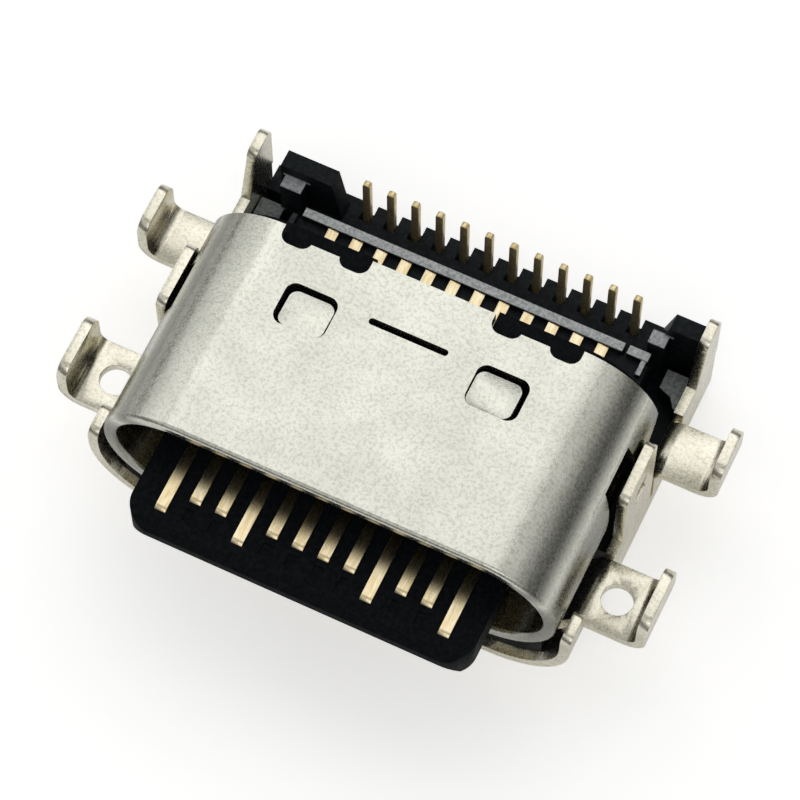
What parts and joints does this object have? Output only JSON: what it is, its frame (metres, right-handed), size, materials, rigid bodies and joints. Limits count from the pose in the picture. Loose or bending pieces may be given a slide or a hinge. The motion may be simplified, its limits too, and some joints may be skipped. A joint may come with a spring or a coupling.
{
  "type": "usb-c socket",
  "caption": "Mid-mount socket for a board cut-out: rounded metal mouth with a plastic tongue and gold contacts, folded cover with bent solder tabs, rear pins.",
  "frame": {"origin": "middle of the mouth in the plane of the front shell's rim", "axes": "+X to the right along the mouth's long side, the mouth faces -Y, +Z towards the board side with the pins"},
  "size_m": [0.0116, 0.0085, 0.0046],
  "materials": {
    "shell_metal": "satin nickel plate on drawn steel",
    "cover_metal": "satin nickel plate on stamped steel",
    "plate_metal": "plain stamped steel",
    "black_plastic": "moulded, slightly satin",
    "gold": "gold plated"
  },
  "bodies": {
    "root": {"front_shell": "shell_metal", "rear_cover": "cover_metal", "tongue_body": "black_plastic", "rear_housing": "black_plastic", "ground_plate": "plate_metal", "tail_contact_1": "gold", "tail_contact_2": "gold", "tail_contact_3": "gold", "tail_contact_4": "gold", "tail_contact_5": "gold", "tail_contact_6": "gold", "tail_contact_7": "gold", "tail_contact_8": "gold", "tail_contact_9": "gold", "tail_contact_10": "gold", "tail_contact_11": "gold", "tail_contact_12": "gold", "pin_contact_1": "gold", "pin_contact_2": "gold", "pin_contact_3": "gold", "pin_contact_4": "gold", "pin_contact_5": "gold", "pin_contact_6": "gold", "pin_contact_7": "gold", "pin_contact_8": "gold", "pin_contact_9": "gold", "pin_contact_10": "gold", "pin_contact_11": "gold", "pin_contact_12": "gold"}
  },
  "joints": []
}
